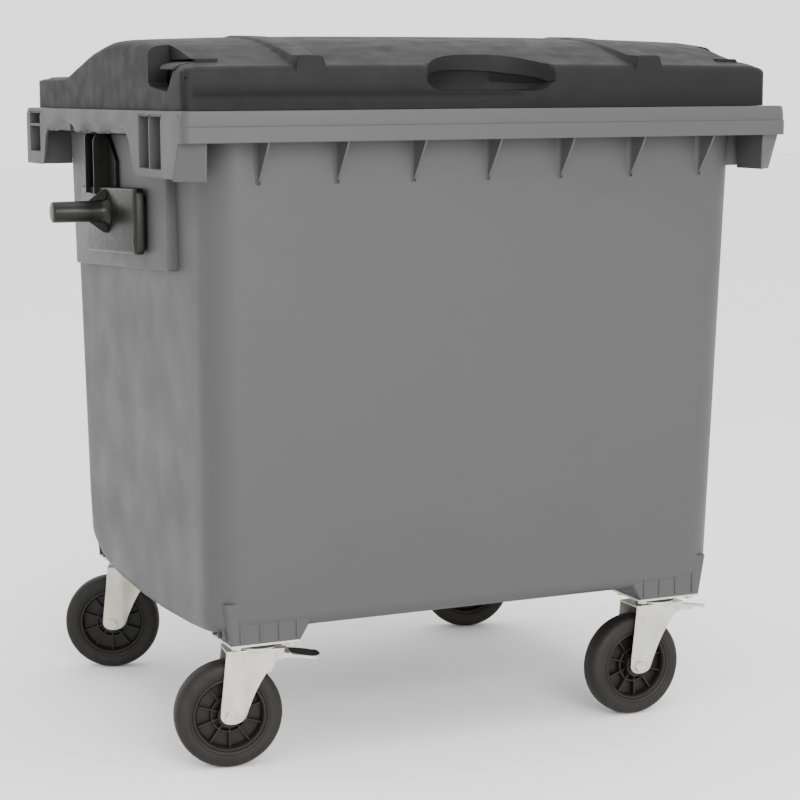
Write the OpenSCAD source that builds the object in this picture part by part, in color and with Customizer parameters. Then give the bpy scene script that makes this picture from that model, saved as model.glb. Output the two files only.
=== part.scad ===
// Four-wheel waste container: drop-moulded tub, hinged lid, two lifting trunnions, four swivel castors.
// Millimetres, +Z up, +X to the viewer's right facing the front (-Y), origin on the floor under the centre.

/* [Body] */
// Outer width of the rim
rim_w = 1192; // [1100:1:1260]
// Front edge of the rim
rim_front = -558; // [-600:1:-500]
// Rear edge of the rim
rim_rear = 518; // [470:1:560]
// Top of the rim
rim_top = 1194; // [1150:1:1240]
// Lower edge of the rim skirt
rim_low = 1140; // [1100:1:1170]
// Wall thickness of the tub
wall = 6; // [4:0.5:10]
// Radius of the tub's upright corners
corner_r = 70; // [40:1:100]

/* [Lid] */
// Half width of the lid's lip
lid_hw = 580; // [520:1:585]
// Front edge of the lid's lip
lid_front = -512; // [-540:1:-490]
// Rear edge of the lid's lip
lid_rear = 466; // [440:1:500]
// Top of the lid's lip
lip_top = 1257; // [1230:1:1280]
// Highest point of the lid
lid_top = 1330; // [1300:1:1380]
// Height of the hinge axis
hinge_z = 1245; // [1225:1:1260]
// Distance of the hinge axis behind the centre
hinge_y = 550; // [535:1:560]

/* [Trunnions] */
// Radius of the lifting pin
pin_r = 20; // [15:0.5:25]
// Free end of the lifting pin from the centre
pin_end = 684; // [660:1:700]
// Height of the lifting pin
pin_z = 1002; // [960:1:1040]
// Position of the lifting pin along the side
pin_y = -25; // [-60:1:20]

/* [Castors] */
// Wheel radius
wheel_r = 100; // [75:1:125]
// Tyre width
tyre_w = 50; // [40:1:60]
// Distance of the axle behind the swivel axis
trail = 55; // [40:1:70]
// Rest angle of the front left castor
yaw_fl = 9.5; // [-180:0.5:180]
// Rest angle of the front right castor
yaw_fr = -2; // [-180:0.5:180]
// Rest angle of the rear left castor
yaw_rl = 20.5; // [-180:0.5:180]
// Rest angle of the rear right castor
yaw_rr = 16.5; // [-180:0.5:180]

/* [Hidden] */
$fn = 64;

hw_rim = rim_w / 2;
cx = 420;
cy_front = -392;
cy_rear = 358;
plate_top = 240;
plate_low = 236;
foot_low = 240.2;
grey = [0.45, 0.45, 0.45];
dark = [0.28, 0.28, 0.29];
black = [0.08, 0.08, 0.08];
zinc = [0.75, 0.76, 0.68];
rib_x = [-441, -294, -147, 0, 147, 294, 441];

// rounded rectangle from straight lines and arcs
module rrect(x0, x1, y0, y1, r) {
    translate([x0 + r, y0]) square([x1 - x0 - 2 * r, y1 - y0]);
    translate([x0, y0 + r]) square([x1 - x0, y1 - y0 - 2 * r]);
    for (x = [x0 + r, x1 - r], y = [y0 + r, y1 - r]) translate([x, y]) circle(r);
}

// a profile drawn in Y and Z, extruded along X from x0 to x1
module along_x(x0, x1) {
    translate([x0, 0, 0]) rotate([90, 0, 90]) linear_extrude(x1 - x0) children();
}

// a profile drawn in X and Z, extruded along Y from y0 to y1
module along_y(y0, y1) {
    translate([0, y1, 0]) rotate([90, 0, 0]) linear_extrude(y1 - y0) children();
}

module both_sides() {
    children();
    mirror([1, 0, 0]) children();
}

// one level of the moulded shell: a thin upright slice with rounded corners
module level(hw, y0, y1, z, r) {
    for (y = [y0 + r, y1 - r]) translate([hw - r, y, z]) cylinder(r = r, h = 1, $fn = 32);
}

// the moulded shell; t = 0 is the outside, t = wall the inside
module shell(t, top) {
    intersection() {
        hull() both_sides() {
            level(536 - t, -501 + t, 410 - t, top - 1, corner_r - t);
            level(520.5 - t, -453 + t, 400 - t, 228, corner_r - t);
        }
        // belly of the floor, from the side and from the front
        along_x(-560, 560) polygon([[-520, 1300], [-520, 330], [-457 + t, 300 + t / 2], [-447 + t / 2, 272 + t],
            [-400, 256 + t], [-270, 243 + t], [-120, 236 + t], [60, 236 + t], [190, 243 + t], [270, 262 + t],
            [340 - t / 2, 290 + t], [385 - t, 330 + t], [405, 380], [440, 480], [440, 1300]]);
        along_y(-560, 460) polygon([[-560, 1300], [-560, 380], [-526 + t, 330], [-519 + t, 262 + t], [-508 + t, 246 + t],
            [-486, 237 + t], [-440, 233 + t], [440, 233 + t], [486, 237 + t], [508 - t, 246 + t], [519 - t, 262 + t],
            [526 - t, 330], [560, 380], [560, 1300]]);
    }
}

module side_skirt() {
    along_x(-hw_rim, -hw_rim + 5)
        polygon([[-525, 1191], [-525, 1104], [-509, 1078], [-285, 1078], [-262, 1102], [-240, 1149], [336, 1149],
            [372, 1077], [484, 1077], [484, 1191]]);
    // hollow front corner block, its face leaning back like the ribs
    difference() {
        along_x(-593, -550) polygon([[-552, 1191], [-552, 1142], [-512, 1079], [-430, 1079], [-430, 1191]]);
        along_x(-585, -554) polygon([[-545, 1186], [-545, 1143], [-507, 1070], [-434, 1070], [-434, 1186]]);
    }
    // backing of the recesses
    translate([-593, -432, 1079]) cube([28, 148, 112]);
    // rear corner block with its gusset towards the wall
    translate([-593, 382, 1079]) cube([28, 100, 112]);
    along_y(376, 380) polygon([[-593, 1191], [-593, 1079], [-535, 1079], [-528, 1110], [-528, 1191]]);
    for (y = [-284, 170]) along_y(y, y + 4) polygon([[-593, 1191], [-593, 1147], [-528, 1110], [-528, 1191]]);
}

// upright recesses in the corner blocks, open to the side, with a rib left between each pair
module side_recesses() {
    translate([-602, -425, 1087]) cube([30, 64, 100]);
    translate([-602, -356, 1087]) cube([30, 59, 100]);
    translate([-602, 392, 1146]) cube([30, 34, 41]);
    translate([-602, 431, 1100]) cube([30, 44, 87]);
}

module rib(y_out, y_in, z_low, t) {
    along_x(-t / 2, t / 2) polygon([[y_out, 1192], [y_out, rim_low], [y_in, z_low], [y_in, 1192]]);
}

module foot(y0, y1) {
    along_y(y0, y1) polygon([[-353, foot_low], [-488, foot_low], [-500, 318], [-307, 318]]);
    for (x = [-470, -432, -396, -362]) translate([x, y0 - 3, 246]) cube([5, 6, 48]);
}

module hinge_cheek(x) {
    along_x(x, x + 8) difference() {
        polygon([[515, 1148], [515, 1187], [526, 1197], [533, 1225], [539.5, 1249], [545, 1255.5], [555, 1255.5],
            [561, 1250], [561, 1240], [545, 1218], [538, 1187], [528, 1153]]);
        translate([hinge_y, hinge_z]) circle(5.2);
    }
}

module tub() color(grey) difference() {
    union() {
        shell(0, 1193);
        // rim: skirt and top flange
        translate([0, 0, rim_low]) linear_extrude(rim_top - rim_low) difference() {
            rrect(-hw_rim, hw_rim, rim_front, rim_rear, 28);
            rrect(-hw_rim + 5, hw_rim - 5, rim_front + 5, rim_rear - 5, 23);
        }
        translate([0, 0, rim_top - 5]) linear_extrude(4.9)
            rrect(-hw_rim + 2, hw_rim - 2, rim_front + 2, rim_rear - 2, 26);
        translate([-560, -561, rim_low + 0.5]) cube([1120, 5, 26]);
        both_sides() {
            side_skirt();
            translate([-551, -317, 890]) cube([40, 614, 301]);
            foot(-449, -332);
            foot(300, 416);
            hinge_cheek(300);
            hinge_cheek(352);
        }
        for (x = rib_x) translate([x, 0, 0]) {
            rib(-555, -490, 1067, 4);
            rib(515, 400, 1060, 4);
        }
    }
    shell(wall, 1205);
    both_sides() {
        side_recesses();
        translate([-602, -238, 1130]) cube([16, 572, 18.5]);
        for (y = [-185, 135], z = [950, 1025]) translate([-560, y, z]) rotate([0, 90, 0]) cylinder(r = 5.3, h = 60);
        for (x = [-472.5, -367.5], y = [cy_front - 40, cy_front + 40, cy_rear - 40, cy_rear + 40])
            translate([x, y, 230]) cylinder(r = 5.2, h = 36);
    }
    translate([0, 0, 220]) cylinder(r = 20.2, h = 40);
}

// lid profile seen from the side; t = 0 outside, t = 5 inside
module lid_side(t) {
    polygon([[lid_front + t, 1190], [lid_front + t, 1261 - t], [-505 + t, 1269 - t], [-495, 1272 - t], [-467, 1280 - t],
        [-431, 1291 - t], [-380, 1305 - t], [-340, 1313 - t], [-300, 1319 - t], [-226, 1326 - t], [-150, lid_top - t],
        [-100, lid_top - t], [-16, 1320 - t], [54, 1311 - t], [127, 1295 - t], [203, 1273 - t], [262, lip_top - t],
        [lid_rear - t, lip_top - t], [lid_rear - t, 1190]]);
}

// lid crown seen from the front
module lid_crown(t) {
    polygon([[-lid_hw + t, 1190], [-lid_hw + t, lid_top - 9 - t], [-400, lid_top - 3 - t], [-200, lid_top - t],
        [200, lid_top - t], [400, lid_top - 3 - t], [lid_hw - t, lid_top - 9 - t], [lid_hw - t, 1190]]);
}

module lid_mass(t) {
    difference() {
        intersection() {
            along_x(-lid_hw + t, lid_hw - t) lid_side(t);
            along_y(-600, 600) lid_crown(t);
            translate([0, 0, 1180]) linear_extrude(200)
                rrect(-lid_hw + t, lid_hw - t, lid_front + t, lid_rear - t, 17 - t);
        }
        // low ledge along the front part of each side
        both_sides() translate([540 - t, -620, 1273 - t]) cube([100, 302 + t, 200]);
        // scoop over the front handle
        translate([0, -559, 1256 - t]) cylinder(r = 125 + t, h = 200);
    }
}

module ridge(x0, x1) {
    along_x(x0, x1) polygon([[-509, 1262], [-507, 1288], [-467, 1290], [-425, 1299.5], [-362, 1311], [-300, 1320],
        [-240, 1324], [-300, 1315], [-340, 1309], [-380, 1301], [-431, 1287], [-467, 1276], [-500, 1266]]);
}

module side_grip_wall() {
    translate([-575, -446, 1224]) cube([60, 130, 52]);
}

module side_grip_cut() {
    translate([-595, -440, 1230]) cube([74, 118, 40]);
}

module lid() color(dark) difference() {
    union() {
        difference() {
            lid_mass(0);
            lid_mass(5);
            translate([-600, -600, 1180]) cube([1200, 1200, 16.5]);
        }
        intersection() {
            lid_mass(0);
            union() {
                both_sides() side_grip_wall();
                translate([-128, -508, 1216]) cube([256, 86, 46]);
            }
        }
        ridge(-370, -316);
        ridge(300, 354);
        both_sides() along_x(309, 351) difference() {
            union() {
                polygon([[462, 1236], [462, 1254], [550, 1255], [550, 1235]]);
                translate([hinge_y, hinge_z]) circle(10.5);
            }
            translate([hinge_y, hinge_z]) circle(5.08);
        }
    }
    both_sides() side_grip_cut();
    translate([-122, -540, 1222]) cube([244, 112, 28]);
    translate([-108, -540, 1222]) cube([216, 60, 40]);
}

module trunnion() {
    difference() {
        union() {
            // plate with its stand-off against the side pad
            along_x(-578, -559) polygon([[-208, 930], [125, 918], [159, 1043], [-208, 1052]]);
            translate([-560, -196, 938]) cube([8.7, 336, 98]);
            // pin with its root collar
            translate([-pin_end, pin_y, pin_z]) rotate([0, 90, 0]) cylinder(r = pin_r, h = 115);
            translate([-617, pin_y, pin_z]) rotate([0, 90, 0]) cylinder(r = 24, h = 45);
            along_x(-578, -577) translate([pin_y, pin_z]) circle(44);
            translate([-612, pin_y - 3, 960]) cube([36, 6, 84]);
            // channel arm reaching up under the rim
            translate([-558, -27, 1030]) cube([6, 120, 117]);
            along_y(-27, -22) polygon([[-555, 1030], [-586, 1030], [-586, 1095], [-566, 1147], [-555, 1147]]);
            along_y(32, 37) polygon([[-555, 1030], [-586, 1030], [-586, 1147], [-555, 1147]]);
            along_y(88, 93) polygon([[-555, 1030], [-586, 1030], [-586, 1147], [-555, 1147]]);
        }
        translate([-583, -202, 942]) cube([8, 6, 98]);
        for (y = [-185, 135], z = [950, 1025]) translate([-572, y, z]) rotate([0, 90, 0]) cylinder(r = 5.2, h = 40);
    }
}

module trunnion_left() color(black) trunnion();

module trunnion_right() color(black) mirror([1, 0, 0]) trunnion();

module trunnion_bolts() color(zinc) both_sides() for (y = [-185, 135], z = [950, 1025]) {
    translate([-571, y, z]) rotate([0, 90, 0]) cylinder(r = 5, h = 46);
    translate([-525.5, y, z]) rotate([0, 90, 0]) cylinder(r = 9, h = 6, $fn = 6);
}

module hinge_pins() color(zinc) both_sides() {
    translate([297, hinge_y, hinge_z]) rotate([0, 90, 0]) cylinder(r = 5, h = 66);
    translate([294, hinge_y, hinge_z]) rotate([0, 90, 0]) cylinder(r = 8.5, h = 5.7);
}

module drain_plug() color(black) {
    translate([0, 0, 224]) cylinder(r = 27, h = 7);
    translate([0, 0, 224]) cylinder(r = 20, h = 20);
    translate([-3, -20, 218]) cube([6, 40, 7]);
}

module drain_seal() color(black) translate([0, 0, 231.3]) difference() {
    cylinder(r = 26, h = 4.2);
    translate([0, 0, -1]) cylinder(r = 20.3, h = 8);
}

module lid_buffers() color(black) both_sides() for (y = [-500, 450])
    translate([430, y, 1194.1]) cylinder(r = 9, h = 2.2);

module castor_bolts() color(zinc) both_sides() for (x = [-472.5, -367.5],
    y = [cy_front - 40, cy_front + 40, cy_rear - 40, cy_rear + 40]) translate([x, y, 0]) {
    translate([0, 0, 229.5]) cylinder(r = 9.5, h = 6.3, $fn = 6);
    translate([0, 0, 229.6]) cylinder(r = 5, h = 35);
}

// places a castor piece: the x axis points away from the trailing wheel
module at_castor(sx, sy, yaw) {
    translate([sx * cx, sy, 0]) rotate([0, 0, -yaw]) children();
}

module plate_shape() color(zinc) difference() {
    union() {
        translate([-67.5, -55, plate_low]) cube([135, 110, 4]);
        translate([0, 0, 230]) cylinder(r = 28, h = 6.5);
    }
    translate([0, 0, 220]) cylinder(r = 8.1, h = 40);
    for (x = [-52.5, 52.5], y = [-40, 40]) translate([x, y, 230]) cylinder(r = 5.5, h = 20);
}

module kingpin_shape() color(zinc) {
    translate([0, 0, 209]) cylinder(r = 14, h = 9.5, $fn = 6);
    translate([0, 0, 210]) cylinder(r = 7.94, h = 29.9);
}

module seal_shape() color(black) translate([0, 0, 227.2]) difference() {
    cylinder(r = 40, h = 8.4);
    translate([0, 0, -1]) cylinder(r = 30, h = 12);
}

module fork_shape(pedal) color(zinc) difference() {
    union() {
        translate([0, 0, 219]) cylinder(r = 38, h = 8);
        translate([-46, -33, 219]) cube([86, 66, 3.5]);
        for (s = [-33, 30]) along_y(s, s + 3) union() {
            polygon([[-46, 222.5], [44, 222.5], [44, 199], [20, 195], [-8, 178], [-28, 148], [-38, 112], [-38, 100],
                [-72, 100], [-71, 150], [-62, 195], [-52, 214]]);
            translate([-trail, wheel_r]) circle(17);
        }
    }
    translate([0, 0, 200]) cylinder(r = 8, h = 40);
    translate([-trail, -50, wheel_r]) rotate([-90, 0, 0]) cylinder(r = 6.2, h = 100);
    if (pedal) translate([34, -50, 208]) rotate([-90, 0, 0]) cylinder(r = 3.2, h = 100);
}

module axle_shape() color(zinc) translate([-trail, 0, wheel_r]) {
    translate([0, -33.3, 0]) rotate([90, 0, 0]) cylinder(r = 10.9, h = 6.5, $fn = 6);
    translate([0, -36, 0]) rotate([-90, 0, 0]) cylinder(r = 6, h = 78);
}

module nut_shape() color(zinc) translate([-trail, 33.3, wheel_r]) rotate([-90, 0, 0]) difference() {
    cylinder(r = 10.9, h = 8, $fn = 6);
    translate([0, 0, -1]) cylinder(r = 6.2, h = 12);
}

module wheel_axis() {
    translate([-trail, 0, wheel_r]) rotate([90, 0, 0]) children();
}

module hub_shape() color(black) wheel_axis() difference() {
    union() {
        rotate_extrude() polygon([[58, -20], [67.9, -22], [67.9, 22], [58, 20], [61, 10], [61, -10]]);
        translate([0, 0, -3]) cylinder(r = 62, h = 6);
        translate([0, 0, -24]) cylinder(r = 23, h = 48);
        difference() {
            translate([0, 0, -12]) cylinder(r = 34, h = 24);
            translate([0, 0, -13]) cylinder(r = 31, h = 26);
        }
        for (i = [0:9]) rotate([0, 0, i * 36]) translate([20, -1.5, -13]) cube([41, 3, 26]);
    }
    translate([0, 0, -30]) cylinder(r = 12.05, h = 60);
}

module tyre_shape() color(black) wheel_axis() rotate_extrude()
    polygon([[68, -22], [84, -25], [92, -23.5], [97, -19.5], [99.5, -12], [100, 0], [99.5, 12], [97, 19.5],
        [92, 23.5], [84, 25], [68, 22]]);

module bearing_shape() color(zinc) wheel_axis() difference() {
    translate([0, 0, -28]) cylinder(r = 12, h = 56);
    translate([0, 0, -30]) cylinder(r = 6.06, h = 60);
}

module pedal_shape() color(zinc) difference() {
    union() {
        for (s = [-29.4, 26.4]) along_y(s, s + 3) union() {
            polygon([[27, 214], [48, 216], [116, 204], [116, 198], [44, 202], [30, 200]]);
            translate([34, 208]) circle(8);
        }
        along_y(-29.4, 29.4) polygon([[46, 212.5], [118, 200], [118, 197.5], [112, 197.5], [46, 209]]);
        along_y(-14, 14) polygon([[46, 212.5], [30, 212], [26, 200], [16, 176], [20, 171.5], [36, 182], [46, 209]]);
    }
    translate([34, -50, 208]) rotate([-90, 0, 0]) cylinder(r = 3.08, h = 100);
}

module pedal_pin_shape() color(zinc) translate([34, -35.5, 208]) rotate([-90, 0, 0]) cylinder(r = 3, h = 71);

module fl_plate() translate([-cx, cy_front, 0]) plate_shape();
module fl_kingpin() translate([-cx, cy_front, 0]) kingpin_shape();
module fl_seal() at_castor(-1, cy_front, yaw_fl) seal_shape();
module fl_fork() at_castor(-1, cy_front, yaw_fl) fork_shape(true);
module fl_axle() at_castor(-1, cy_front, yaw_fl) axle_shape();
module fl_nut() at_castor(-1, cy_front, yaw_fl) nut_shape();
module fl_hub() at_castor(-1, cy_front, yaw_fl) hub_shape();
module fl_tyre() at_castor(-1, cy_front, yaw_fl) tyre_shape();
module fl_bearing() at_castor(-1, cy_front, yaw_fl) bearing_shape();
module fl_pedal() at_castor(-1, cy_front, yaw_fl) pedal_shape();
module fl_pedal_pin() at_castor(-1, cy_front, yaw_fl) pedal_pin_shape();

module fr_plate() translate([cx, cy_front, 0]) plate_shape();
module fr_kingpin() translate([cx, cy_front, 0]) kingpin_shape();
module fr_seal() at_castor(1, cy_front, yaw_fr) seal_shape();
module fr_fork() at_castor(1, cy_front, yaw_fr) fork_shape(true);
module fr_axle() at_castor(1, cy_front, yaw_fr) axle_shape();
module fr_nut() at_castor(1, cy_front, yaw_fr) nut_shape();
module fr_hub() at_castor(1, cy_front, yaw_fr) hub_shape();
module fr_tyre() at_castor(1, cy_front, yaw_fr) tyre_shape();
module fr_bearing() at_castor(1, cy_front, yaw_fr) bearing_shape();
module fr_pedal() at_castor(1, cy_front, yaw_fr) pedal_shape();
module fr_pedal_pin() at_castor(1, cy_front, yaw_fr) pedal_pin_shape();

module rl_plate() translate([-cx, cy_rear, 0]) plate_shape();
module rl_kingpin() translate([-cx, cy_rear, 0]) kingpin_shape();
module rl_seal() at_castor(-1, cy_rear, yaw_rl) seal_shape();
module rl_fork() at_castor(-1, cy_rear, yaw_rl) fork_shape(false);
module rl_axle() at_castor(-1, cy_rear, yaw_rl) axle_shape();
module rl_nut() at_castor(-1, cy_rear, yaw_rl) nut_shape();
module rl_hub() at_castor(-1, cy_rear, yaw_rl) hub_shape();
module rl_tyre() at_castor(-1, cy_rear, yaw_rl) tyre_shape();
module rl_bearing() at_castor(-1, cy_rear, yaw_rl) bearing_shape();

module rr_plate() translate([cx, cy_rear, 0]) plate_shape();
module rr_kingpin() translate([cx, cy_rear, 0]) kingpin_shape();
module rr_seal() at_castor(1, cy_rear, yaw_rr) seal_shape();
module rr_fork() at_castor(1, cy_rear, yaw_rr) fork_shape(false);
module rr_axle() at_castor(1, cy_rear, yaw_rr) axle_shape();
module rr_nut() at_castor(1, cy_rear, yaw_rr) nut_shape();
module rr_hub() at_castor(1, cy_rear, yaw_rr) hub_shape();
module rr_tyre() at_castor(1, cy_rear, yaw_rr) tyre_shape();
module rr_bearing() at_castor(1, cy_rear, yaw_rr) bearing_shape();

tub();
lid();
trunnion_left();
trunnion_right();
trunnion_bolts();
hinge_pins();
drain_plug();
drain_seal();
lid_buffers();
castor_bolts();
fl_plate();
fl_kingpin();
fl_seal();
fl_fork();
fl_axle();
fl_nut();
fl_hub();
fl_tyre();
fl_bearing();
fr_plate();
fr_kingpin();
fr_seal();
fr_fork();
fr_axle();
fr_nut();
fr_hub();
fr_tyre();
fr_bearing();
rl_plate();
rl_kingpin();
rl_seal();
rl_fork();
rl_axle();
rl_nut();
rl_hub();
rl_tyre();
rl_bearing();
rr_plate();
rr_kingpin();
rr_seal();
rr_fork();
rr_axle();
rr_nut();
rr_hub();
rr_tyre();
rr_bearing();
fl_pedal();
fl_pedal_pin();
fr_pedal();
fr_pedal_pin();
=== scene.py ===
import bpy, bmesh, math
from mathutils import Matrix, Vector


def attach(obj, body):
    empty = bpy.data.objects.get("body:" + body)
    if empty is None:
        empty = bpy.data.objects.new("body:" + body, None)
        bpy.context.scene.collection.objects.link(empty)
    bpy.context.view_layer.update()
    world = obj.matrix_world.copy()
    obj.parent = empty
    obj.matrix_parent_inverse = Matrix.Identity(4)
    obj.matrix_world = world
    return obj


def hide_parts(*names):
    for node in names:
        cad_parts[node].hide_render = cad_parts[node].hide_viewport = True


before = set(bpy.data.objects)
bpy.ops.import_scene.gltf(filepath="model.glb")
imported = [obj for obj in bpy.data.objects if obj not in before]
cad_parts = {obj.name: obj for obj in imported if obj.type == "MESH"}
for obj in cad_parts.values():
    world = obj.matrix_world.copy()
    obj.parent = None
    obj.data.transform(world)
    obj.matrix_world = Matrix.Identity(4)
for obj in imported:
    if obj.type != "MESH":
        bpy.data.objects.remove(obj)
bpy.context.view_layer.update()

# ---- Tub shell ----------------------------------------------------------------------------------------------
# The tub is one injection-moulded polyethylene shell, 6 mm thick, 1.07 m wide at the top and drawn in towards
# a slightly bellied floor. Its upright corners have a 70 mm radius. All lengths below are millimetres.


def finish_piece(name, bm, mat, body, nodes=(), angle=35, bevel=0.0):
    """Turns a bmesh in millimetres into an object at the origin that rides on a CAD body."""
    bmesh.ops.remove_doubles(bm, verts=bm.verts, dist=0.02)
    bmesh.ops.dissolve_degenerate(bm, edges=bm.edges, dist=0.01)
    bmesh.ops.recalc_face_normals(bm, faces=bm.faces)
    bmesh.ops.scale(bm, vec=(0.001, 0.001, 0.001), verts=bm.verts)
    me = bpy.data.meshes.new(name)
    bm.to_mesh(me)
    bm.free()
    me.polygons.foreach_set("use_smooth", [True] * len(me.polygons))
    me.set_sharp_from_angle(angle=math.radians(angle))
    ob = bpy.data.objects.new(name, me)
    bpy.context.scene.collection.objects.link(ob)
    ob.data.materials.append(mat)
    if bevel:
        m = ob.modifiers.new("bevel", "BEVEL")
        m.width = bevel / 1000
        m.segments = 2
        m.limit_method = "ANGLE"
        m.angle_limit = math.radians(40)
        m.harden_normals = False
    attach(ob, body)
    if nodes:
        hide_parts(*nodes)
    return ob


def ring(bm, hw, y0, y1, r, z, ys=(), n=8):
    """One closed loop of vertices round a rounded rectangle; z is a number or a function of x and y."""
    pts = []
    side = [min(max(y, y0 + r), y1 - r) for y in ys]
    for cx, cy, a0 in ((hw - r, y1 - r, 0), (-hw + r, y1 - r, 90), (-hw + r, y0 + r, 180), (hw - r, y0 + r, 270)):
        for i in range(n + 1):
            a = math.radians(a0 + 90 * i / n)
            pts.append((cx + r * math.cos(a), cy + r * math.sin(a)))
        if a0 == 90:
            pts += [(-hw, y) for y in reversed(side)]
        if a0 == 270:
            pts += [(hw, y) for y in side]
    return [bm.verts.new((x, y, z(x, y) if callable(z) else z)) for x, y in pts]


def bridge(bm, a, b, closed=True):
    """Quads between two loops with the same number of vertices."""
    for i in range(len(a) if closed else len(a) - 1):
        j = (i + 1) % len(a)
        bm.faces.new((a[i], a[j], b[j], b[i]))


def box(bm, x0, x1, y0, y1, z0, z1):
    """A closed box given by its limits."""
    middle = Matrix.Translation(((x0 + x1) / 2, (y0 + y1) / 2, (z0 + z1) / 2))
    mat = middle @ Matrix.Diagonal((x1 - x0, y1 - y0, z1 - z0, 1))
    return bmesh.ops.create_cube(bm, size=1, matrix=mat)["verts"]


def noisy(name, color, rough, scale=9.0, spread=0.06, bump=0.05, grain=900.0, metal=0.0, coat=0.0, spec=0.25):
    """A moulded or plated surface: slow colour drift, scuffs in the roughness and a fine grain in the bump."""
    mat = bpy.data.materials.new(name)
    mat.use_nodes = True
    nt = mat.node_tree
    N, L = nt.nodes, nt.links
    p = N["Principled BSDF"]
    co = N.new("ShaderNodeTexCoord")
    slow = N.new("ShaderNodeTexNoise")
    slow.inputs["Scale"].default_value = scale
    slow.inputs["Detail"].default_value = 5
    L.new(co.outputs["Object"], slow.inputs["Vector"])
    ramp = N.new("ShaderNodeMapRange")
    ramp.inputs["From Min"].default_value = 0.3
    ramp.inputs["From Max"].default_value = 0.7
    ramp.inputs["To Min"].default_value = 1 - spread
    ramp.inputs["To Max"].default_value = 1 + spread
    L.new(slow.outputs["Fac"], ramp.inputs["Value"])
    mul = N.new("ShaderNodeVectorMath")
    mul.operation = "SCALE"
    mul.inputs[0].default_value = color
    L.new(ramp.outputs["Result"], mul.inputs["Scale"])
    L.new(mul.outputs["Vector"], p.inputs["Base Color"])
    scuff = N.new("ShaderNodeTexNoise")
    scuff.inputs["Scale"].default_value = scale * 6
    scuff.inputs["Detail"].default_value = 8
    L.new(co.outputs["Object"], scuff.inputs["Vector"])
    rr = N.new("ShaderNodeMapRange")
    rr.inputs["From Min"].default_value = 0.3
    rr.inputs["From Max"].default_value = 0.7
    rr.inputs["To Min"].default_value = rough - 0.07
    rr.inputs["To Max"].default_value = rough + 0.07
    L.new(scuff.outputs["Fac"], rr.inputs["Value"])
    L.new(rr.outputs["Result"], p.inputs["Roughness"])
    fine = N.new("ShaderNodeTexNoise")
    fine.inputs["Scale"].default_value = grain
    fine.inputs["Detail"].default_value = 2
    L.new(co.outputs["Object"], fine.inputs["Vector"])
    b = N.new("ShaderNodeBump")
    b.inputs["Strength"].default_value = bump
    b.inputs["Distance"].default_value = 0.0006
    L.new(fine.outputs["Fac"], b.inputs["Height"])
    L.new(b.outputs["Normal"], p.inputs["Normal"])
    p.inputs["Metallic"].default_value = metal
    p.inputs["Specular IOR Level"].default_value = spec
    p.inputs["Coat Weight"].default_value = coat
    p.inputs["Coat Roughness"].default_value = 0.08
    return mat


body_grey = noisy("body_grey", (0.054, 0.054, 0.055), 0.50, scale=1.6, spread=0.02, bump=0.09, grain=700)


def lerp(v, pairs):
    """Straight-line interpolation through (position, value) pairs."""
    if v <= pairs[0][0]:
        return pairs[0][1]
    for (a, va), (b, vb) in zip(pairs, pairs[1:]):
        if v <= b:
            return va + (vb - va) * (v - a) / (b - a)
    return pairs[-1][1]


def belly(y):
    """Height of the floor's outside along the tub."""
    return lerp(y, [(-458, 268), (-430, 262), (-370, 252), (-273, 244), (-120, 237), (25, 236.5), (150, 242),
                    (220, 247), (268, 257), (297, 267), (340, 290), (375, 318), (401, 350)])


side_ys = [-360 + 40 * i for i in range(19)]
bm = bmesh.new()
for t in (0.0, 6.0):
    rows = []
    for z in (1193, 1120, 1040, 900, 750, 600, 450, 390):
        f = (z - 350) / 840
        rows.append(ring(bm, 522.5 + 13.5 * f - t, -458 - 43 * f + t, 401 + 9 * f - t, 70 - t, z, side_ys))
    for k in range(8):
        a = math.radians(90 * k / 7)
        r = 24 - t / 2
        ins = r * (1 - math.cos(a))
        rows.append(ring(bm, 521 - t - ins, -455 + t + ins, 399 - t - ins, 70 - t - ins,
                         lambda x, y: belly(y) + t + r * (1 - math.sin(a)), side_ys))
    for a, b in zip(rows, rows[1:]):
        bridge(bm, a, b)
    last = rows[-1]
    # floor: strips from the right edge across to the left edge
    right = [v for v in last if v.co.x > 0]
    left = [v for v in last if v.co.x < 0]
    right.sort(key=lambda v: v.co.y)
    left.sort(key=lambda v: v.co.y)
    prev = None
    for vr, vl in zip(right, left):
        width = vl.co.x - vr.co.x
        row = [vr] + [bm.verts.new((vr.co.x + width * i / 6, vr.co.y, vr.co.z)) for i in range(1, 6)] + [vl]
        if prev and (vr.co - prev[0].co).length > 0.01:
            bridge(bm, prev, row, closed=False)
        prev = row
    if t == 0:
        outer_top = rows[0]
    else:
        inner_top = rows[0]
bridge(bm, outer_top, inner_top)
finish_piece("tub_shell", bm, body_grey, "tub_body", ["tub"])

# ---- Rim and skirts -----------------------------------------------------------------------------------------
# The rim is moulded with the tub: a flange and a 54 mm skirt, 1192 by 1076 mm, whose lower band stands 3 mm
# proud in front. At the sides the skirt drops to corner blocks with two open recesses each and rises between.


def skirt_low(x, y):
    """Lower edge of the skirt round the rim."""
    if abs(x) < 588:
        return 1140
    if y > 490:
        return 1140 if abs(x) < 594 else 1079
    return lerp(y, [(-529, 1140), (-526, 1134), (-500, 1078), (-287, 1078), (-277, 1083), (-265, 1096),
                    (-252, 1124), (-242, 1142), (-228, 1149), (336, 1149), (347, 1138), (362, 1096), (371, 1081),
                    (380, 1079)])


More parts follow.
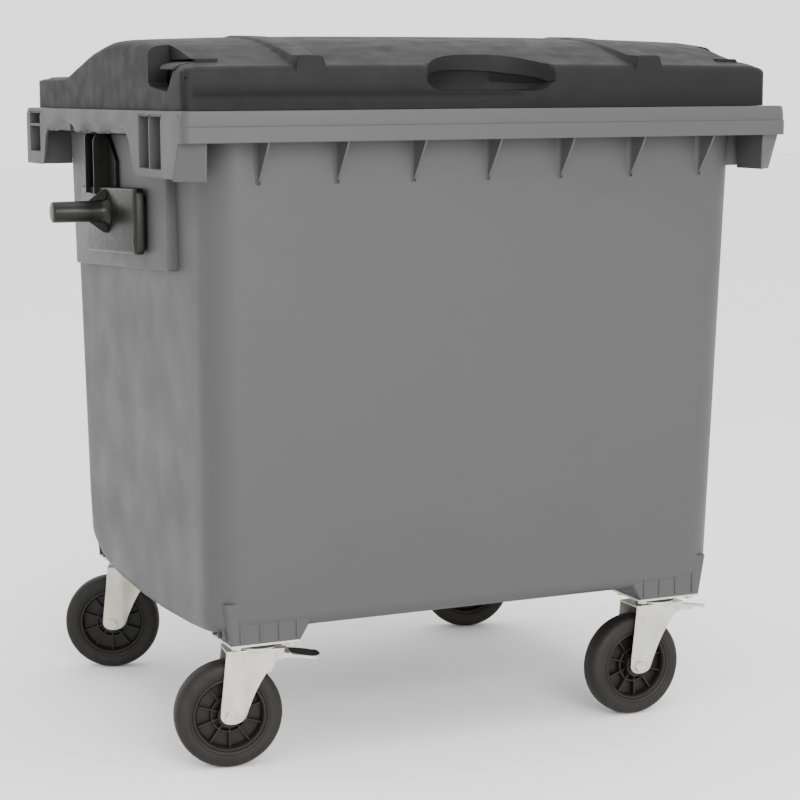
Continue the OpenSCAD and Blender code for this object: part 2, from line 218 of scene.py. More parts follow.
rim_ys = [-529.8, -529, -526, -513, -500, -470, -434, -370, -365, -306, -287, -282, -277, -271, -265, -258,
          -252, -247, -242, -236, -228]
rim_ys += [-215 + 15 * i for i in range(37)]
rim_ys += [336, 341, 347, 352, 357, 362, 367, 371, 380, 392, 434, 475]
bm = bmesh.new()
rows = [ring(bm, 530, -495, 404, 64, 1193.2, rim_ys), ring(bm, 590, -555, 515, 16, 1194, rim_ys),
        ring(bm, 592, -557.3, 517.3, 17, 1193, rim_ys), ring(bm, 593.6, -558, 518, 17, 1190.5, rim_ys),
        ring(bm, 595, -558, 518, 17, 1184, rim_ys), ring(bm, 595.8, -558, 518, 17, 1177, rim_ys)]
for z, out in ((1174, 0), (1168.5, 0), (1166.5, 3), (1162, 3), (1157, 3), (1146, 3), (1141.5, 3), (1125, 2),
               (1105, 2), (1093, 2), (1079, 2)):
    lift = 1.5 if z == 1141.5 else 0
    rows.append(ring(bm, 596, -558 - out, 518, 17, lambda x, y: max(z, skirt_low(x, y) + lift), rim_ys))
rows.append(ring(bm, 594.8, -559, 516.8, 16, lambda x, y: skirt_low(x, y) + 0.3, rim_ys))
rows.append(ring(bm, 591.5, -553.5, 513.5, 14, lambda x, y: skirt_low(x, y) + 0.5, rim_ys))
for z in (1093, 1105, 1157, 1162, 1187):
    rows.append(ring(bm, 591, -553, 513, 13, lambda x, y: max(z, skirt_low(x, y) + 0.6), rim_ys))
rows.append(ring(bm, 533, -498, 407, 67, 1188, rim_ys))
for a, b in zip(rows, rows[1:]):
    bridge(bm, a, b)
bmesh.ops.remove_doubles(bm, verts=bm.verts, dist=0.02)
windows = ((-434, -370, 1093, 1187), (-365, -306, 1093, 1187), (392, 475, 1162, 1187), (392, 475, 1105, 1157))
cut = []
for f in bm.faces:
    c = f.calc_center_median()
    in_window = any(y0 < c.y < y1 and z0 < c.z < z1 for y0, y1, z0, z1 in windows)
    if abs(c.x) > 588 and abs(f.normal.x) > 0.8 and in_window:
        cut.append(f)
bmesh.ops.delete(bm, geom=cut, context="FACES")
for s in (-1, 1):
    for y0, y1, z0, z1 in windows:
        for grow, x0, x1 in ((0, 596, 573), (3, 591, 570)):
            ya, yb, za = y0 - grow, y1 + grow, z0 - grow
            mouth = ((ya, za), (yb, za), (yb, z1), (ya, z1))
            bottom = ((ya + 2, za + 2), (yb - 2, za + 2), (yb - 2, z1 - 1), (ya + 2, z1 - 1))
            a = [bm.verts.new((s * x0, y, z)) for y, z in mouth]
            b = [bm.verts.new((s * x1, y, z)) for y, z in bottom]
            bridge(bm, a, b)
            bm.faces.new(b)
# shallow soft arches pressed into the middle of the side skirts
for v in bm.verts:
    x, y, z = v.co
    if abs(x) > 590 and -236 < y < 342 and z < 1186:
        span = lerp(y, [(-236, 0), (-150, 1), (-64, 0.1), (-40, 0), (20, 0.75), (80, 0.05), (110, 0), (210, 1),
                        (310, 0.2), (342, 0)])
        depth = max(0.0, min(1.0, (1152 + 24 * span ** 0.6 - z) / 9)) * min(1, 3 * span)
        v.co.x -= math.copysign(9 * depth * depth * (3 - 2 * depth), x)
finish_piece("tub_rim", bm, body_grey, "tub_body", ["tub"], angle=32, bevel=0.8)

# ---- Corner blocks, ribs and pads of the tub ----------------------------------------------------------------
# Moulded with the shell: hollow blocks under the front corners, seven 4 mm gussets in front and behind that run
# from the skirt back to the wall, 15 to 20 mm raised pads for the lifting brackets, and ribbed castor feet.


def close_plate(bm, a, b):
    """Joins two matching outlines into a closed plate."""
    bridge(bm, a, b)
    bm.faces.new(a)
    bm.faces.new(b)


def side_plate(bm, x0, x1, outline):
    """A closed plate whose (y, z) outline stands across the x axis."""
    a = [bm.verts.new((x0, y, z)) for y, z in outline]
    b = [bm.verts.new((x1, y, z)) for y, z in outline]
    close_plate(bm, a, b)


def cross_plate(bm, y0, y1, outline, s=1):
    """A closed plate whose (x, z) outline stands across the y axis; s mirrors it."""
    a = [bm.verts.new((s * x, y0, z)) for x, z in outline]
    b = [bm.verts.new((s * x, y1, z)) for x, z in outline]
    close_plate(bm, a, b)


bm = bmesh.new()
for s in (-1, 1):
    # front corner block: the slanting face and the inner side
    outer = [(-530, 1188), (-530, 1141), (-500, 1075), (-495.5, 1075), (-525, 1142.5), (-525, 1188)]
    inner = [(-549, 1188), (-548, 1141), (-543, 1075), (-538.5, 1075), (-543, 1142.5), (-543, 1188)]
    a = [bm.verts.new((s * 595.5, y, z)) for y, z in outer]
    b = [bm.verts.new((s * 550, y, z)) for y, z in inner]
    close_plate(bm, a, b)
    side = [(-548, 1188), (-547, 1141), (-542, 1075.5), (-458, 1075.5), (-458, 1188)]
    side_plate(bm, s * 550.5, s * 554.5, side)
    # 4 mm webs between skirt and wall; the one at y 170 is short, behind the raised part of the skirt
    for y in (-445, -288, 170, 376):
        short = y == 170
        low, tip, slope = (1150, 575, 26) if short else (1080, 545, 0)
        web = [(592, 1188), (592, low), (tip, low), (533, low + slope), (533, 1188)]
        cross_plate(bm, y, y + 4, web, s)
finish_piece("tub_blocks", bm, body_grey, "tub_body", ["tub"], bevel=0.8)

bm = bmesh.new()
for x in (-441, -294, -147, 0, 147, 294, 441):
    for front in (True, False):
        rows = []
        low = 1066 if front else 1060
        for i in range(15):
            z = 1188 - (1188 - low) * i / 14
            wall = -458 - 43 * (z - 350) / 840 if front else 401 + 9 * (z - 350) / 840
            foot, skirt = (wall - 1, -553.5) if front else (wall + 1, 513.5)
            out = lerp(z, [(low, foot), (1140, skirt)])
            sgn = -1 if front else 1
            run = abs(out - wall)
            fil = min(9, run * 0.4) + 5 * max(0, 1 - (z - low) / 22)
            half = 1.6 + 0.012 * run
            flank = [(half + fil, -2), (half + fil * 0.45, fil * 0.25), (half + fil * 0.12, fil * 0.6),
                     (half, fil), (1.8, run)]
            section = [(-dx, d) for dx, d in flank] + flank[::-1]
            rows.append([bm.verts.new((x + dx, wall + sgn * d, z)) for dx, d in section])
        for a, b in zip(rows, rows[1:]):
            bridge(bm, a, b)
        bm.faces.new(rows[0])
        bm.faces.new(rows[-1])
finish_piece("tub_ribs", bm, body_grey, "tub_body", ["tub"], angle=50)

bm = bmesh.new()
for s in (-1, 1):
    pad = [(-317, 1189), (-317, 907), (300, 879), (320, 1189)]
    a = [bm.verts.new((520 + 13.5 * (z - 350) / 840, y, z)) for y, z in pad]
    b = [bm.verts.new((551, y, z)) for y, z in pad]
    close_plate(bm, a, b)
    vs = a + b
    edges = [e for e in bm.edges if all(v in vs for v in e.verts) and any(v in b for v in e.verts)]
    bmesh.ops.bevel(bm, geom=edges, offset=4, segments=3, affect="EDGES", profile=0.5, material=-1)
    if s < 0:
        bmesh.ops.scale(bm, vec=(-1, 1, 1), verts=bm.verts)
finish_piece("tub_pads", bm, body_grey, "tub_body", ["tub"])

bm = bmesh.new()
for s in (-1, 1):
    for y0, y1, face in ((-449.5, -332, -1), (300, 416, 1)):
        rows = []
        for z in (240.2, 241.5, 262, 284, 300, 318):
            f = (z - 240) / 78
            e = 1.5 if z < 241 else 0
            xa, xb = 353 - 46 * f + e, 488 + 12 * f - e
            ya, yb = y0 + e - 3 * f * (face < 0), y1 - e + (0 if face < 0 else -12 * f)
            r = 8
            loop = []
            corners = ((xb - r, yb - r, 0), (xa + r, yb - r, 90), (xa + r, ya + r, 180), (xb - r, ya + r, 270))
            for cx, cy, a0 in corners:
                turns = [math.radians(a0 + 22.5 * i) for i in range(5)]
                loop += [(cx + r * math.cos(a), cy + r * math.sin(a)) for a in turns]
            rows.append([bm.verts.new((s * x, y, z)) for x, y in loop])
        for a, b in zip(rows, rows[1:]):
            bridge(bm, a, b)
        bm.faces.new(rows[0])
        bm.faces.new(rows[-1])
        for x in (362, 396, 432, 470):
            ya, yb = (y0 - 3.2, y0 + 4) if face < 0 else (y1 - 14, y1 + 1)
            box(bm, s * x - 2.2, s * x + 2.2, ya, yb, 245, 291)
        for y in (y0 + 22, y0 + 50, y0 + 78):
            box(bm, min(s * 480, s * 497), max(s * 480, s * 497), y - 2.2, y + 2.2, 246, 286)
finish_piece("tub_feet", bm, body_grey, "tub_body", ["tub"], bevel=1.2)


def around_pin(r, degrees):
    """(y, z) points on a circle round the lid's hinge pins."""
    turns = [math.radians(d) for d in degrees]
    return [(550 + r * math.cos(a), 1245 + r * math.sin(a)) for a in turns]


# hinge cheeks behind the rim: four 8 mm plates that carry the two hinge pins
bm = bmesh.new()
for s in (-1, 1):
    for x0 in (300, 352):
        prof = [(515, 1148), (515, 1187), (526, 1197), (533, 1225)]
        prof += around_pin(11, range(170, -41, -15))
        prof += [(546, 1218), (538, 1187), (528, 1153)]
        side_plate(bm, s * x0, s * (x0 + 8), prof)
finish_piece("tub_hinge_cheeks", bm, body_grey, "tub_body", ["tub"], bevel=0.8)

# ---- Lid ----------------------------------------------------------------------------------------------------
# One moulded polyethylene shell, 1160 by 978 mm and 135 mm high, domed, with two raised ribs, a scooped front
# handle and a hand hole in a lowered ledge on each side. It turns on two pins behind the rim.
lid_grey = noisy("lid_grey", (0.0085, 0.0085, 0.0088), 0.60, scale=4.0, spread=0.05, bump=0.10, grain=650,
                 spec=0.16)
lid_hw, lid_y0, lid_y1, lid_low = 580, -512, 466, 1194.5
rib_middles = (-343, 327)


def lid_top(x, y):
    """Outer height of the lid's dome."""
    z = lerp(y, [(-512, 1271), (-495, 1272.5), (-467, 1280), (-431, 1291), (-380, 1304.5), (-340, 1312.5),
                 (-300, 1318.5), (-226, 1325.5), (-150, 1328.8), (-100, 1328.6), (-60, 1326.5), (-16, 1321.5),
                 (54, 1311.5), (90, 1304.5), (127, 1295.5), (165, 1284), (190, 1275.5), (215, 1267.5),
                 (235, 1261), (246, 1258), (262, 1257), (466, 1257)])
    a = abs(x)
    drop = lerp(a, [(0, 0), (220, 0.4), (400, 3), (500, 6), (552, 8), (566, 10), (573, 13.5), (578, 18.5),
                    (580, 24)])
    fade = max(0.0, min(1.0, (z - 1257) / 40))
    z -= drop * (0.35 + 0.65 * fade) if a > 552 else drop * fade
    if a > 540.2 and y < -318.2:
        z = min(z, lerp(a, [(540, 1276), (546, 1275), (566, 1271.5), (573, 1268), (578, 1263), (580, 1258)]))
        if -463.5 < y:
            z = 1282 if a < 545 else lerp(y, [(-463, 1262), (-447, 1246), (-432, 1231), (-424, 1226.5),
                                              (-375, 1231), (-329, 1235.5), (-319, 1243)])
    for c in rib_middles:
        d = x - c
        if -40 < d < 32 and y < -60:
            top = lerp(y, [(-512, 1288.5), (-467, 1290), (-425, 1299.5), (-362, 1310.8), (-300, 1320),
                           (-226, 1326.5), (-150, 1329.5), (-60, 1323)])
            k = lerp(d, [(-32, 0), (-26, 0.93), (-22, 1), (13, 1), (19, 0.9), (28, 0)])
            z = max(z, z + (top - z) * k)
    return z


def brow_y(x):
    """Plan line of the scoop over the handle."""
    t = abs(x) / 128
    return lid_y0 + 78 * (1 - t ** 3) if t < 1 else lid_y0


side_xs = (580, 579.4, 578, 575.5, 572, 566, 560, 552, 546, 540.4, 540, 520, 490, 450, 400, 250, 220, 190,
           160, 140)
rib_xs = (-40, -32, -29, -26, -22, -12, 0, 13, 16, 19, 24, 28, 34)
xs = [s * v for s in (-1, 1) for v in side_xs]
xs += [c + d for c in rib_middles for d in rib_xs]
xs += [-128 + 8 * i for i in range(33)]
xs = sorted(set(xs))
ys = [-512, -511.4, -510, -507.5, -504, -500, -494, -486, -477, -467, -463.6, -463, -455, -447, -439, -432, -424,
      -410, -395, -380, -362, -345, -329, -323, -318.4, -318, -300, -280, -253, -226, -200, -170, -150, -125, -100,
      -60, -16, 20, 54, 90, 127, 150, 165, 180, 192, 203, 214, 225, 232, 240, 250, 262, 300, 350, 400, 440, 455,
      460, 463.5, 465.4, 466]
bm = bmesh.new()
grid = []
for x in xs:
    col = []
    for j, y in enumerate(ys):
        yy = y
        if abs(x) < 128:
            b = brow_y(x)
            front = sum(1 for v in ys if v < -395)
            if j < front:
                yy = b + (-395 - b) * j / front
        px, py = x, yy
        ax, r = abs(x), 17
        cx, cy = lid_hw - r, (lid_y0 + r if yy < 0 else lid_y1 - r)
        dx, dy = ax - cx, (cy - yy if yy < 0 else yy - cy)
        if dx > 0 and dy > 0:
            k = max(dx, dy) / math.hypot(dx, dy)
            px = math.copysign(cx + dx * k, x)
            py = cy - dy * k if yy < 0 else cy + dy * k
        z = lid_top(x, yy)
        edge = min(yy - lid_y0, lid_y1 - yy)
        if edge < 14 and not (abs(x) < 128 and yy < 0):
            on_rib = any(-32 < x - c < 24 for c in rib_middles)
            if lid_y1 - yy < 14 or not on_rib:
                z -= 14 - math.sqrt(196 - (14 - edge) ** 2)
            else:
                z -= max(0, 3 - edge)
        col.append(bm.verts.new((px, py, z)))
    grid.append(col)
nx, ny = len(xs), len(ys)
for i in range(nx - 1):
    for j in range(ny - 1):
        bm.faces.new((grid[i][j], grid[i + 1][j], grid[i + 1][j + 1], grid[i][j + 1]))
# rear and side walls down to the lower edge
rows = [[grid[i][-1] for i in range(nx)]]
for z in (1225, lid_low):
    rows.append([bm.verts.new((v.co.x, v.co.y, z)) for v in rows[0]])
for a, b in zip(rows, rows[1:]):
    bridge(bm, a, b, closed=False)
for top in (grid[0], grid[-1]):
    zs = [lid_low + (v.co.z - lid_low) * 0.55 for v in top]
    mid = [bm.verts.new((v.co.x, v.co.y, z)) for v, z in zip(top, zs)]
    low = [bm.verts.new((v.co.x, v.co.y, lid_low)) for v in top]
    bridge(bm, top, mid, closed=False)
    bridge(bm, mid, low, closed=False)


def mouth_top(x):
    """Upper edge of the handle's mouth."""
    return lerp(x, [(-126, 1243), (-122, 1250), (-112, 1255), (-90, 1259.5), (-50, 1262.5), (-10, 1262.5),
                    (40, 1259.5), (80, 1254), (105, 1248.5), (116, 1244), (121, 1240)])


def mouth_low(x):
    """Lower edge of the handle's mouth."""
    return lerp(x, [(-126, 1242), (-122, 1235), (-112, 1228), (-100, 1225), (-86, 1223.5), (80, 1223.5),
                    (98, 1225), (110, 1229), (117, 1234), (121, 1239)])


# front wall, with the lens-shaped mouth of the handle under the scoop
rows = []
for i in range(nx):
    x = xs[i]
    t = grid[i][0].co
    inside = -126 < x < 121
    ztop = mouth_top(x) if inside else 1243
    zlow = mouth_low(x) if inside else 1241
    scooped = abs(x) < 128
    sy = lid_y0 if scooped else t.y
    col = [grid[i][0]]
    by = brow_y(x)
    edge_y = by if scooped else t.y
    col.append(bm.verts.new((t.x, edge_y, ztop + 4 if inside else ztop + 8)))
    col.append(bm.verts.new((t.x, edge_y, ztop)))
    if inside:
        col.append(bm.verts.new((t.x, min(by + 5, -428), ztop + 1.0)))
        col.append(bm.verts.new((t.x, min(by + 12, -424), (ztop + zlow) / 2)))
        col.append(bm.verts.new((t.x, min(by + 6, -428), zlow + 3)))
        col.append(bm.verts.new((t.x, lid_y0 + 5, zlow - 0.5)))
    else:
        for k in range(4):
            col.append(bm.verts.new((t.x, sy, ztop - 0.4 * (k + 1))))
    col.append(bm.verts.new((t.x, sy, zlow)))
    # a shallow step in the left part of the wall
    step = 0.7 if sy == lid_y0 and x < 60 else 0
    col.append(bm.verts.new((t.x, sy, 1222)))
    col.append(bm.verts.new((t.x, sy + step, 1221)))
    col.append(bm.verts.new((t.x, sy + step, 1212)))
    col.append(bm.verts.new((t.x, sy, lid_low)))
    rows.append(col)
for a, b in zip(rows, rows[1:]):
    for k in range(len(a) - 1):
        bm.faces.new((a[k], b[k], b[k + 1], a[k + 1]))
# the hand hole runs in under the dome, and a strap of the ledge crosses its front part
gone = []
for f in bm.faces:
    c = f.calc_center_median()
    if 540.2 < abs(c.x) < 546.2 and -463.2 < c.y < -318.3 and 1229 < c.z < 1275:
        gone.append(f)
bmesh.ops.delete(bm, geom=gone, context="FACES")
for s in (-1, 1):
    pocket = [(-463, 1282), (-463, 1226), (-318.5, 1226), (-318.5, 1282)]
    a = [bm.verts.new((s * 541, y, z)) for y, z in pocket]
    b = [bm.verts.new((s * 500, y, z)) for y, z in pocket]
    bridge(bm, a, b)
    bm.faces.new(b)
    rows = []
    for y0, y1, x, zt, zb in ((-466, -352, 539, 1277, 1273), (-466, -362, 556, 1274.5, 1269),
                              (-466, -372, 568, 1272, 1267), (-466, -380, 575, 1269.5, 1265),
                              (-466, -386, 579, 1266.5, 1264), (-465.6, -387, 580, 1264, 1263.5)):
        strap = ((y0, zb), (y0, zt), (y1 - 2, zt + 1.5), (y1, zt), (y1, zb + 1.5))
        rows.append([bm.verts.new((s * x, y, z)) for y, z in strap])
    for a, b in zip(rows, rows[1:]):
        bridge(bm, a, b)
    bm.faces.new(rows[0])
    bm.faces.new(rows[-1])
bmesh.ops.remove_doubles(bm, verts=bm.verts, dist=0.05)
finish_piece("lid_shell", bm, lid_grey, "lid_body", ["lid"], angle=38)
# two knuckle arms behind the lid, each with a bored eye for its hinge pin
bm = bmesh.new()
for s in (-1, 1):
    outer = [(464.5, 1254), (464.5, 1236)] + around_pin(10.4, range(-108, 109, 12))
    bore = around_pin(5.2, range(135, 136 + 18 * 19, 18))
    o0, o1 = ([bm.verts.new((s * x, y, z)) for y, z in outer] for x in (309, 351))
    b0, b1 = ([bm.verts.new((s * x, y, z)) for y, z in bore] for x in (309, 351))
    bridge(bm, o0, o1)
    bridge(bm, b0, b1)
    for o, b in ((o0, b0), (o1, b1)):
        rims = [bm.edges.get((p, q)) for loop in (o, b) for p, q in zip(loop, loop[1:] + loop[:1])]
        bmesh.ops.triangle_fill(bm, use_beauty=True, edges=rims)
finish_piece("lid_knuckles", bm, lid_grey, "lid_body", ["lid"], bevel=0.6)

# ---- Castors ------------------------------------------------------------------------------------------------
# Four swivel castors with 200 mm solid rubber tyres, 50 mm wide, on ribbed black plastic hubs. Each fork is
# pressed from 3 mm zinc-plated sheet: a flat leg with a crease and a wing that runs up round the head.
zinc = noisy("zinc_plate", (0.50, 0.50, 0.43), 0.34, scale=26.0, spread=0.14, bump=0.10, grain=500, metal=0.75)
rubber = noisy("tyre_rubber", (0.0105, 0.0088, 0.0070), 0.62, scale=30.0, spread=0.25, bump=0.35, grain=260)
hub_black = noisy("hub_black", (0.0075, 0.0066, 0.0058), 0.45, scale=30.0, spread=0.25, bump=0.15, grain=400)
seal_black = noisy("seal_black", (0.012, 0.012, 0.012), 0.55, scale=40.0, spread=0.2, bump=0.1)


def revolve(bm, prof, n=72):
    """Turns (radius, along) pairs round the y axis; returns the new vertices."""
    rows = []
    for k in range(n):
        a = 2 * math.pi * k / n
        rows.append([bm.verts.new((r * math.cos(a), y, r * math.sin(a))) for r, y in prof])
    for k in range(n):
        bridge(bm, rows[k], rows[(k + 1) % n])
    return [v for row in rows for v in row]


def round_box(bm, x0, x1, y0, y1, z0, z1, r=1.0, n=2):
    """A box with all its edges rounded."""
    vs = box(bm, x0, x1, y0, y1, z0, z1)
    edges = [e for e in bm.edges if all(v in vs for v in e.verts)]
    bmesh.ops.bevel(bm, geom=edges, offset=r, segments=n, affect="EDGES", profile=0.5)


def dress(part, mat, bevelled=True):
    """Gives a carried CAD piece its material, and a 0.6 mm bevel on its sharp edges."""
    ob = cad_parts[part]
    ob.data.materials.clear()
    ob.data.materials.append(mat)
    if bevelled:
        m = ob.modifiers.new("bevel", "BEVEL")
        m.width = 0.0006
        m.segments = 2
        m.limit_method = "ANGLE"
        m.angle_limit = math.radians(40)


# centre of each castor head, and how far its fork is turned about the head, in degrees
castors = {"fl": (-420, -392, 9.5), "fr": (420, -392, -2), "rl": (-420, 358, 20.5), "rr": (420, 358, 16.5)}
for c, (cx, cy, yaw) in castors.items():
    place = Matrix.Translation((cx, cy, 0)) @ Matrix.Rotation(math.radians(-yaw), 4, "Z")
    wheel = place @ Matrix.Translation((-55, 0, 100))
    # fork: two pressed legs joined by the head plate
    bm = bmesh.new()
    # height, then the leg's rear edge, the two sides of its crease and the wing's front edge
    levels = [(86.2, -58, -47, -46, -45), (87.4, -63.5, -41, -39, -38), (90, -68.5, -35.5, -33.5, -32),
              (94, -72, -31.5, -29.5, -28), (100, -74, -28.5, -26.5, -25), (112, -73.2, -28.5, -25.5, -21),
              (125, -72, -29, -25, -15.5), (142, -70, -29.5, -25.3, -8), (159, -68, -30, -25.6, 1),
              (175, -66.2, -30.5, -26, 11), (187, -65, -31, -26.3, 20), (199, -63.6, -31.3, -26.6, 32),
              (207, -62.7, -31.6, -26.8, 41), (212, -62.2, -31.8, -27, 45), (221, -61.5, -32, -27, 46)]
    for s in (-1, 1):
        rows = []
        for z, xl, xc, xd, xw in levels:
            top = max(0, (z - 200) / 21)
            rim = 29.6 + 1.4 * top
            sec = [(xl + 1.2, 33.0), (xc - 1.5, 33.2), (xc, 32.8), (xd, 30.6 + top), (xw - 1.0, rim + 0.4),
                   (xw, rim - 0.3), (xw, 27.6), (xd, 27.4), (xc, 29.8), (xc - 1.5, 30.2), (xl + 0.6, 30.2),
                   (xl, 31.4)]
            rows.append([bm.verts.new((x, s * y, z)) for x, y in sec])
        for a, b in zip(rows, rows[1:]):
            bridge(bm, a, b)
        bm.faces.new(rows[0])
        bm.faces.new(rows[-1])
    # turned-out ears at the top of the legs, the head plate and its rolled rim
    round_box(bm, -62, 46, -33, 33, 218.6, 222.4, r=1.4)
    vs = revolve(bm, [(8, 219), (37, 219), (38, 220), (38, 225.4), (36.6, 226.8), (30, 227), (8, 227)], n=64)
    for v in vs:
        v.co = Vector((v.co.x, v.co.z, v.co.y))
    bmesh.ops.transform(bm, matrix=place, verts=bm.verts)
    finish_piece(c + "_fork_sheet", bm, zinc, c + "_swivel", [c + "_fork"], angle=30)
    # tyre with rounded shoulders and a moulded rim line on each side
    bm = bmesh.new()
    half = [(100, 0), (99.9, 5), (99.5, 10), (98.6, 14), (97, 17.8), (94.6, 20.8), (91.4, 23), (87.6, 24.3),
            (83, 24.8), (78, 24.6), (75.2, 24.2), (74.6, 23.4), (73.6, 23.4), (73, 24.0), (70.4, 23.4),
            (69, 22.2), (68.1, 20.5)]
    revolve(bm, half + [(r, -y) for r, y in reversed(half[1:])], n=96)
    bmesh.ops.transform(bm, matrix=wheel, verts=bm.verts)
    finish_piece(c + "_tyre_body", bm, rubber, c + "_wheel", [c + "_tyre"], angle=40)
    # hub: rim, web, ten ribs, inner ring and bored boss
    bm = bmesh.new()
    rim = [(67.9, 21.5), (66.8, 22), (64, 21.6), (61.5, 19), (60.4, 14), (60.2, 3.2), (35, 3.0), (34.6, 12),
           (34, 12.6), (31.6, 12.6), (31, 12), (30.6, 3.2), (23.4, 3.2), (22.6, 22.8), (21.4, 24), (13.4, 24),
           (12.05, 23)]
    revolve(bm, rim + [(r, -y) for r, y in reversed(rim)], n=80)
    for k in range(10):
        turn = Matrix.Rotation(math.radians(36 * k + 18), 4, "Y")
        for y0, y1 in ((2.5, 13), (-13, -2.5)):
            vs = box(bm, 20, 61, y0, y1, -1.4, 1.4)
            for v in vs:
                if abs(v.co.y) > 5 and v.co.x > 50:
                    v.co.y *= 1.12
            bmesh.ops.transform(bm, matrix=turn, verts=vs)
    bmesh.ops.transform(bm, matrix=wheel, verts=bm.verts)
    finish_piece(c + "_hub_body", bm, hub_black, c + "_wheel", [c + "_hub"], angle=35)
    # the plated head plate, pins, nut and bearing and the black head seal keep their CAD shape
    for part in ("_plate", "_kingpin", "_axle", "_nut", "_bearing"):
        dress(c + part, zinc)
    dress(c + "_seal", seal_black)

# ---- Brake pedals -------------------------------------------------------------------------------------------
# Pressed steel treads hinged on the two front forks, with a black rubber top. The left one is broad and its lip
# turns up; the right one is a narrow lever.
for c, wide in (("fl", True), ("fr", False)):
    cx, cy, yaw = castors[c]
    place = Matrix.Translation((cx, cy, 0)) @ Matrix.Rotation(math.radians(-yaw), 4, "Z")
    bm = bmesh.new()
    for s in (-1, 1):
        prof = [(28, 204), (31, 200.5), (37, 200.5), (46, 203.5), (70, 202), (70, 206), (46, 213), (38, 215.2),
                (31, 214.5), (27, 210)]
        cross_plate(bm, s * 26.4, s * 29.4, prof)
    stem = [(46, 212.3), (34, 212), (28, 204), (17, 178), (19, 172.5), (24, 174), (36, 198), (46, 208)]
    cross_plate(bm, -13, 13, stem)
    round_box(bm, 40, 60, -29, 29, 208.6, 211.4, r=1.0)
    # tread: a lofted tongue whose width follows its length
    if wide:
        width = [(44, 20), (58, 22), (72, 27), (86, 29), (98, 28.5), (106, 25), (112, 20), (116, 13), (117.8, 5)]
    else:
        width = [(44, 14), (58, 12), (72, 9.5), (86, 8.5), (98, 8.5), (106, 8), (112, 6.8), (116, 4.6), (117.8, 2)]
    rows = []
    for x, w in width:
        z = 212 - 12.5 * (x - 44) / 74 + (2.0 if wide and x > 108 else 0)
        dish, middle = (z - 0.8, z - 1) if wide else (z, z)
        under = z - 3.2
        sec = ((-w, z - 1), (-w + 1.4, z), (-w * 0.5, dish), (0, middle), (w * 0.5, dish), (w - 1.4, z),
               (w, z - 1), (w, under - 2), (w - 1.6, under - 1), (0, under - 1.4), (-w + 1.6, under - 1),
               (-w, under - 2))
        rows.append([bm.verts.new((x, y, zz)) for y, zz in sec])
    for a, b in zip(rows, rows[1:]):
        bridge(bm, a, b)
    bm.faces.new(rows[0])
    bm.faces.new(rows[-1])
    bmesh.ops.transform(bm, matrix=place, verts=bm.verts)
    finish_piece(c + "_pedal_metal", bm, zinc, c + "_brake", [c + "_pedal"], angle=30)
    bm = bmesh.new()
    rows = []
    for x, w in width[1:-1]:
        z = 212 - 12.5 * (x - 44) / 74 + (2.0 if wide and x > 108 else 0)
        w = w - 2.6
        sec = ((-w, z - 0.6), (-w + 1, z + 0.2), (0, z - 0.2), (w - 1, z + 0.2), (w, z - 0.6),
               (w * 0.6, z - 1.6), (-w * 0.6, z - 1.6))
        rows.append([bm.verts.new((x, y, zz)) for y, zz in sec])
    for a, b in zip(rows, rows[1:]):
        bridge(bm, a, b)
    bm.faces.new(rows[0])
    bm.faces.new(rows[-1])
    bmesh.ops.transform(bm, matrix=place, verts=bm.verts)
    finish_piece(c + "_pedal_pad", bm, seal_black, c + "_brake", angle=30)
    dress(c + "_pedal_pin", zinc, bevelled=False)

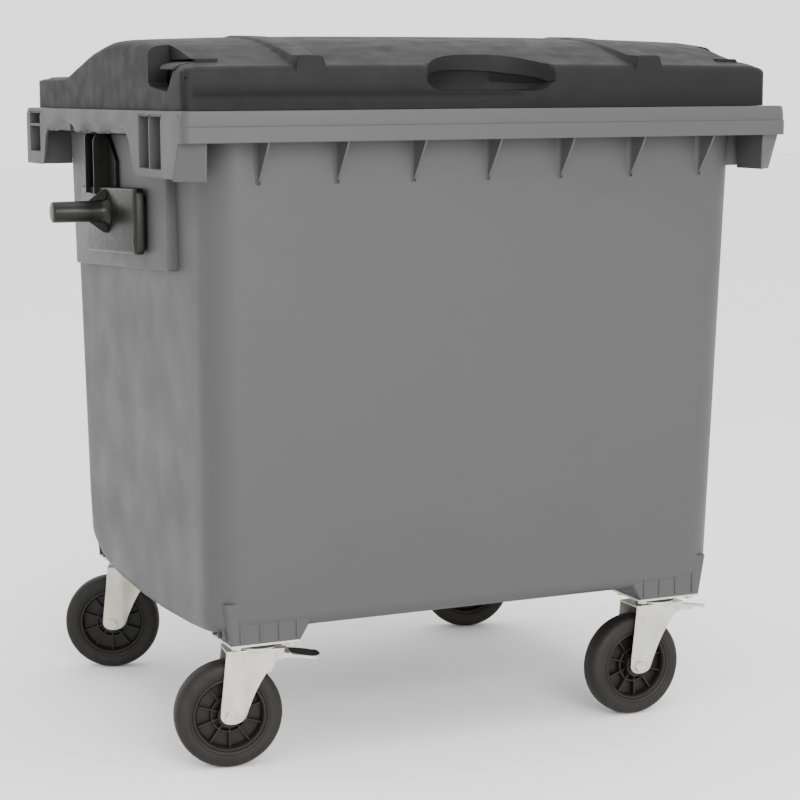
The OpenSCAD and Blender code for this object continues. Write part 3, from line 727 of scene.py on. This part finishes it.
# ---- Lifting brackets ---------------------------------------------------------------------------------------
# On each side a gloss black cast bracket, 19 mm thick, bolted to the pad through the wall, with a 40 mm lifting
# pin for the lorry's arms and a ribbed channel arm that reaches up under the rim.
gloss = noisy("black_gloss", (0.0026, 0.0027, 0.0020), 0.34, scale=18.0, spread=0.25, bump=0.008, grain=300,
              coat=0.0, spec=0.28)
for s, side in ((-1, "left"), (1, "right")):
    bm = bmesh.new()
    # plate with rounded corners, its outer edge bevelled all round
    outline = [(-208, 930), (125, 918), (159, 1043), (-208, 1052)]
    ring_pts = []
    for k, (y, z) in enumerate(outline):
        p, q = outline[k - 1], outline[(k + 1) % 4]
        r = 11
        a = Vector((p[0] - y, p[1] - z)).normalized() * r
        b = Vector((q[0] - y, q[1] - z)).normalized() * r
        for t in (0, 0.25, 0.5, 0.75, 1):
            u = 1 - t
            ring_pts.append((y + a.x * u ** 2 + b.x * t * t, z + a.y * u ** 2 + b.y * t * t))
    count = len(ring_pts)
    mid = Vector((sum(p[0] for p in ring_pts) / count, sum(p[1] for p in ring_pts) / count))
    rows = []
    for x, shrink in ((559, 3), (560, 0), (571, 0), (574.5, 1.2), (576.8, 3.6), (578, 7)):
        row = []
        for y, z in ring_pts:
            d = (Vector((y, z)) - mid)
            k = 1 - shrink / max(40, d.length)
            row.append(bm.verts.new((x, mid.x + d.x * k, mid.y + d.y * k)))
        rows.append(row)
    for a, b in zip(rows, rows[1:]):
        bridge(bm, a, b)
    bm.faces.new(rows[0])
    bm.faces.new(rows[-1])
    round_box(bm, 551.4, 561, -196, 140, 938, 1036, r=1)
    # a thin raised bead and a short lug along the plate's front edge
    round_box(bm, 574, 578.6, -199, -196.6, 952, 1040, r=0.8)
    round_box(bm, 574, 579.2, -202, -196, 946, 962, r=1.6)
    # pin with a flared root and a chamfered end
    pin = [(0.5, 560), (30, 560), (30, 577.5), (29, 578.6), (25, 580), (22.5, 584), (21.2, 592), (20.4, 602),
           (20, 612), (20, 681), (18.6, 683.4), (17.6, 684), (0.5, 684)]
    vs = revolve(bm, pin, n=48)
    for v in vs:
        v.co = Vector((v.co.y, -25 + v.co.x, 1002 + v.co.z))
    # gussets beside the root
    for sign in (-1, 1):
        web = [(x, 1002 + sign * out) for x, out in ((577, 19), (577, 42), (586, 40), (612, 21), (612, 17))]
        cross_plate(bm, -28, -22, web)
    # channel arm: a back plate and three upright ribs
    back = [(90, 1030), (90, 1146.5), (28, 1146.5), (-27, 1097), (-27, 1030)]
    side_plate(bm, 552, 559, back)
    for y0, y1, out, top in ((28, 32, 586, 1140), (60, 63, 574, 1140), (86, 90, 586, 1146)):
        web = [(553, 1032), (out, 1032), (out, top - 6), (out - 3, top), (out - 6, 1146.5), (553, 1146.5)]
        cross_plate(bm, y0, y1, web)
    if s < 0:
        bmesh.ops.scale(bm, vec=(-1, 1, 1), verts=bm.verts)
    finish_piece("bracket_" + side, bm, gloss, "tub_body", ["trunnion_" + side], bevel=0.8)

# ---- Bolts, pins, plug and buffers --------------------------------------------------------------------------
# Plated bolts and hinge pins, the black screw plug in the floor with its rubber ring, and the four rubber rests
# between rim and lid. All keep their CAD shape.
for part in ("trunnion_bolts", "hinge_pins", "castor_bolts"):
    dress(part, zinc)
dress("drain_plug", hub_black)
for part in ("drain_seal", "lid_buffers"):
    dress(part, seal_black)

# ---- Camera and light ---------------------------------------------------------------------------------------
# The camera stands front left of the bin, level with the lid, and looks a little down through a long lens.
cam = bpy.data.objects.new("camera", bpy.data.cameras.new("camera"))
cam.data.lens = 96.23
cam.data.sensor_width = 36.0
place = Matrix.Translation((-1.708, -3.9865, 1.2297))
heading = Matrix.Rotation(math.radians(-23.693), 4, "Z")
pitch = Matrix.Rotation(math.radians(90 - 8.288), 4, "X")
roll = Matrix.Rotation(math.radians(-0.308), 4, "Z")
cam.matrix_world = place @ heading @ pitch @ roll
bpy.context.scene.collection.objects.link(cam)
bpy.context.scene.camera = cam

# A pale seamless floor, lit by a white world and two large soft lamps, in front and above.
bm = bmesh.new()
bmesh.ops.create_grid(bm, x_segments=1, y_segments=1, size=30)
floor = bpy.data.objects.new("floor", bpy.data.meshes.new("floor"))
bm.to_mesh(floor.data)
bm.free()
bpy.context.scene.collection.objects.link(floor)
floor.data.materials.append(noisy("floor_white", (0.93, 0.93, 0.93), 0.9, scale=0.6, spread=0.005, bump=0.0))
world = bpy.data.worlds.new("world")
world.use_nodes = True
world.node_tree.nodes["Background"].inputs["Color"].default_value = (1, 1, 1, 1)
world.node_tree.nodes["Background"].inputs["Strength"].default_value = 1.9
bpy.context.scene.world = world
lamps = (("key_light", 300, 2.6, (-0.5, -5.2, 2.4)), ("top_light", 60, 3.0, (0.2, -0.6, 4.4)))
for name, watts, size, spot in lamps:
    lamp = bpy.data.objects.new(name, bpy.data.lights.new(name, "AREA"))
    lamp.data.energy = watts
    lamp.data.size = size
    lamp.location = spot
    lamp.rotation_euler = (Vector((0, 0, 0.6)) - lamp.location).to_track_quat("-Z", "Y").to_euler()
    bpy.context.scene.collection.objects.link(lamp)
